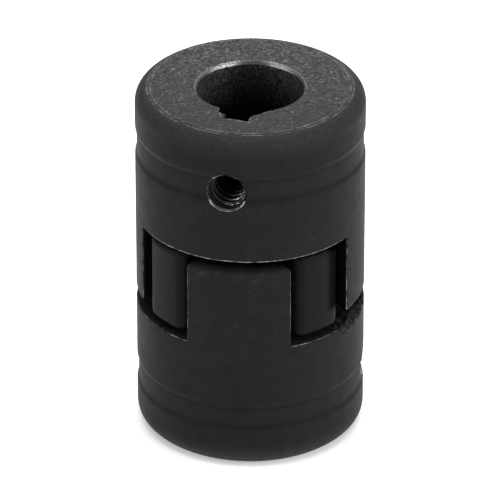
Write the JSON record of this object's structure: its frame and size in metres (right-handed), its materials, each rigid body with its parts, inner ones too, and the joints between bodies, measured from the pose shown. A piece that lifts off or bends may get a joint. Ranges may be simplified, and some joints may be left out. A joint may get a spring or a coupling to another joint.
{
  "type": "jaw coupling",
  "caption": "Flexible jaw coupling: two black iron hubs with interlocking jaws around a rubber spider, each with a keyed bore and a set screw.",
  "frame": {"origin": "centre of the coupling, on its axis, midway between the two outer end faces", "axes": "+Z along the shaft axis towards the upper hub; the upper hub's jaws lie along X and the lower hub's jaws along Y"},
  "size_m": [0.0274, 0.0274, 0.0446],
  "materials": {
    "hub_iron": "matt black oxide on sintered iron, bright where the edges are worn",
    "spider_rubber": "smooth black moulded nitrile rubber, satin",
    "screw_steel": "black oxide alloy steel, satin"
  },
  "bodies": {
    "lower_hub": {"lower_hub": "hub_iron"},
    "spider": {"spider": "spider_rubber"},
    "upper_hub": {"upper_hub": "hub_iron"},
    "upper_set_screw": {"upper_set_screw": "screw_steel"},
    "lower_set_screw": {"lower_set_screw": "screw_steel"}
  },
  "joints": [
    {"name": "twist", "type": "hinge", "parent": "lower_hub", "child": "spider", "pos_m": [0, 0, 0], "axis": [0, 0, 1], "range_deg": [-2, 2]},
    {"name": "pull_off", "type": "slide", "parent": "spider", "child": "upper_hub", "axis": [0, 0, 1], "range_m": [0, 0.012]},
    {"name": "upper_screw_travel", "type": "slide", "parent": "upper_hub", "child": "upper_set_screw", "axis": [-0.0993, -0.9951, 0], "range_m": [0, 0.00741]},
    {"name": "lower_screw_travel", "type": "slide", "parent": "lower_hub", "child": "lower_set_screw", "axis": [0.9951, 0.0993, 0], "range_m": [0, 0.00741]}
  ]
}
